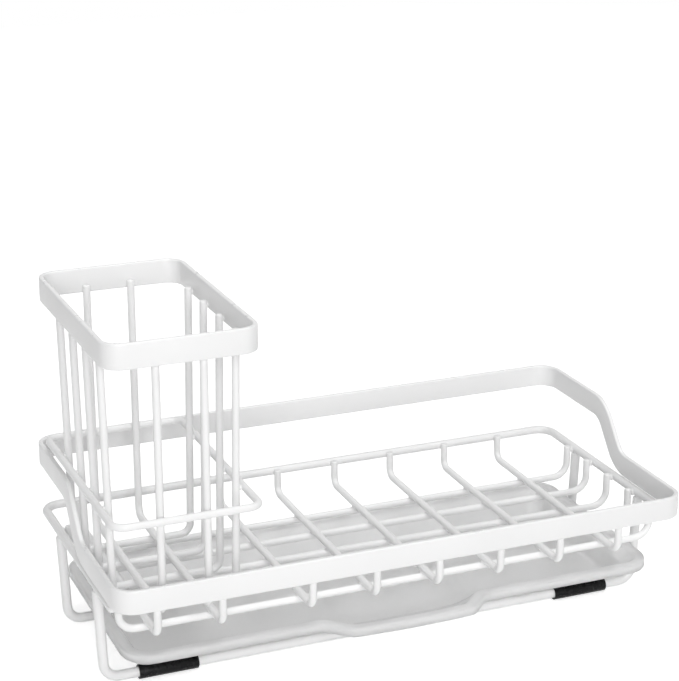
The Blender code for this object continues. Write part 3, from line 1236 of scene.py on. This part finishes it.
@dataclass
class Welds:
    """All the welds of both baskets."""

    finish: Finish
    floor: BasketFloor
    legs: LegFrames
    basket: BrushBasket
    rail_inset: float = 0.0013
    rail_drop: float = 0.0003
    rim_lap: float = 0.0018
    brush_rim_lap: float = 0.0016

    def build(self) -> list[Object]:
        """Makes the welds of each basket and returns both pieces."""
        return [self.main_basket().build(), self.brush_basket().build()]

    def main_basket(self) -> WeldSpots:
        """Finds and returns the welds of the main basket."""
        welds = WeldSpots("basket_welds", Body.FRAME, self.finish)
        welds.crossings(self.floor.long_nodes, self.floor.cross_nodes, self.floor.diameter)
        rail_low, rail_high = solid_box("rail")
        rail_z = solid_centre("rail").z - self.rail_drop
        rim_z = solid_box("main_rim")[0].z + self.rim_lap
        for node in self.floor.long_nodes:
            low, high = solid_box(node)
            for x in ((low.x + rail_low.x) / 2 + self.rail_inset,
                      (high.x + rail_high.x) / 2 - self.rail_inset):
                welds.add(x, solid_centre(node).y, rail_z, Bead.RAIL_SIDE)
        for node in self.floor.cross_nodes:
            x, (low, high) = solid_centre(node).x, solid_box(node)
            welds.add(x, low.y - GAP / 2, rim_z, Bead.RIM_FRONT)
            welds.add(x, high.y + GAP / 2, rail_z, Bead.RAIL_BACK)
        for node in self.legs.nodes:
            left, right, _, _ = solid_sides(node, self.legs.diameter / 2)
            for x in (left, right):
                welds.add(x, solid_centre(node).y, rail_low.z - GAP / 2, Bead.LEG_TOP)
        return welds

    def brush_basket(self) -> WeldSpots:
        """Finds and returns the welds of the brush basket."""
        welds = WeldSpots("brush_basket_welds", Body.BRUSH_BASKET, self.finish)
        welds.crossings(self.basket.width_nodes, self.basket.depth_nodes, self.basket.diameter)
        ring_z = solid_centre("brush_ring").z
        lap_z = solid_box("brush_rim")[0].z + self.brush_rim_lap
        ring_left, ring_right, _, _ = solid_sides("brush_ring", self.basket.diameter + GAP / 2)
        for node in self.basket.width_nodes:
            y = solid_centre(node).y
            left, right, _, _ = solid_sides(node, -GAP / 2)
            for x in (ring_left, ring_right):
                welds.add(x, y, ring_z, Bead.RING_SIDE)
            for x in (left, right):
                welds.add(x, y, lap_z, Bead.LAP_SIDE)
        for node in self.basket.depth_nodes:
            x = solid_centre(node).x
            _, _, near, far = solid_sides(node, -GAP / 2)
            for y in (near, far):
                welds.add(x, y, ring_z, Bead.RING_END)
                welds.add(x, y, lap_z, Bead.LAP_END)
        return welds


# Studio


@dataclass(frozen=True)
class Lamp:
    """One soft lamp that faces a point."""

    name: str
    place: Point
    aim: Point
    width: float
    power: float

    def build(self) -> None:
        """Hangs the lamp."""
        light = bpy.data.lights.new(self.name, "AREA")
        light.shape = "SQUARE"
        light.size = self.width
        light.energy = self.power
        lamp = bpy.data.objects.new(self.name, light)
        lamp.location = self.place
        towards = Vector(self.aim) - Vector(self.place)
        lamp.rotation_euler = towards.to_track_quat("-Z", "Y").to_euler()
        bpy.context.scene.collection.objects.link(lamp)


@dataclass
class Studio:
    """A pale floor, a white surround and soft lamps."""

    floor_color: Color = (0.86, 0.86, 0.86, 1.0)
    floor_width: float = 3.0
    floor_lift: float = 0.62
    sky: float = 0.22
    lamps: tuple[Lamp, ...] = (
        Lamp("key_lamp", (-0.55, -2.00, 0.72), (0.0, 0.0, 0.05), 1.2, 26.5),
        Lamp("top_lamp", (0.15, -0.10, 1.90), (0.0, 0.0, 0.05), 1.4, 18.5),
    )

    def build(self) -> None:
        """Sets up the floor, the surround and the lamps."""
        bpy.context.scene.view_settings.view_transform = "Standard"
        self.surround()
        self.floor()
        for lamp in self.lamps:
            lamp.build()

    @staticmethod
    def seen(bench: NodeBench) -> NodeSocket:
        """Gives 1 for a ray that reaches the eye, straight, by gloss or through glass."""
        rays = bench.add("ShaderNodeLightPath").outputs
        seen = bench.math("MAXIMUM", rays["Is Camera Ray"], rays["Is Glossy Ray"])
        return bench.math("MAXIMUM", seen, rays["Is Transmission Ray"])

    def surround(self) -> None:
        """Lights softly from all round, and shows white."""
        world = bpy.data.worlds.new("studio_surround")
        world.use_nodes = True
        bpy.context.scene.world = world
        bench = NodeBench(world.node_tree)
        background = world.node_tree.nodes["Background"]
        background.inputs["Color"].default_value = (1.0, 1.0, 1.0, 1.0)
        bench.feed(background.inputs["Strength"],
                   bench.remap(self.seen(bench), 0.0, 1.0, self.sky, 1.0))

    def floor(self) -> None:
        """Lays the floor, which shows white and keeps the caddy's shadow."""
        shape = bmesh.new()
        bmesh.ops.create_grid(shape, x_segments=1, y_segments=1, size=self.floor_width / 2)
        mesh = bpy.data.meshes.new("studio_floor")
        shape.to_mesh(mesh)
        shape.free()
        material = bpy.data.materials.new("studio_floor")
        material.use_nodes = True
        nodes = material.node_tree.nodes
        bench = NodeBench(material.node_tree)
        shader = nodes["Principled BSDF"]
        shader.inputs["Base Color"].default_value = self.floor_color
        shader.inputs["Roughness"].default_value = 0.9
        shader.inputs["Specular IOR Level"].default_value = 0.1
        shader.inputs["Emission Color"].default_value = (1.0, 1.0, 1.0, 1.0)
        bench.feed(shader.inputs["Emission Strength"],
                   bench.math("MULTIPLY", self.seen(bench), self.floor_lift))
        mesh.materials.append(material)
        floor = bpy.data.objects.new("studio_floor", mesh)
        bpy.context.scene.collection.objects.link(floor)


@dataclass(frozen=True)
class Viewpoint:
    """The camera, at the photograph's viewing angle."""

    place: Point = (-0.288566, -0.682326, 0.366054)
    right: Point = (0.9248, -0.3804, -0.0011)
    upward: Point = (0.1218, 0.2935, 0.9482)
    lens: float = 103.62
    sensor: float = 36.0

    def build(self) -> None:
        """Sets up the camera."""
        data = bpy.data.cameras.new("view_camera")
        data.sensor_fit = "HORIZONTAL"
        data.sensor_width = self.sensor
        data.lens = self.lens
        data.clip_start = 0.01
        data.clip_end = 50.0
        right = Vector(self.right).normalized()
        back = right.cross(Vector(self.upward)).normalized()
        turn = Matrix((right, back.cross(right), back)).transposed().to_4x4()
        camera = bpy.data.objects.new("view_camera", data)
        camera.matrix_world = Matrix.Translation(self.place) @ turn
        bpy.context.scene.collection.objects.link(camera)
        bpy.context.scene.camera = camera


def main() -> None:
    """Builds the caddy piece by piece, and the studio round it."""
    logging.basicConfig(level=logging.INFO, format="%(message)s", stream=sys.stdout)
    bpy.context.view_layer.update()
    coat, rubber, plastic = PowderCoat(), SleeveRubber(), FrostedPlastic()
    MainRim(coat).build()
    Rail(coat).build()
    floor = BasketFloor(coat)
    floor.build()
    legs = LegFrames(coat)
    legs.build()
    FootSleeves(rubber).build()
    DripTray(plastic).build()
    basket = BrushBasket(coat)
    basket.build()
    Welds(coat, floor, legs, basket).build()
    Studio().build()
    Viewpoint().build()


if __name__ == "__main__":
    main()
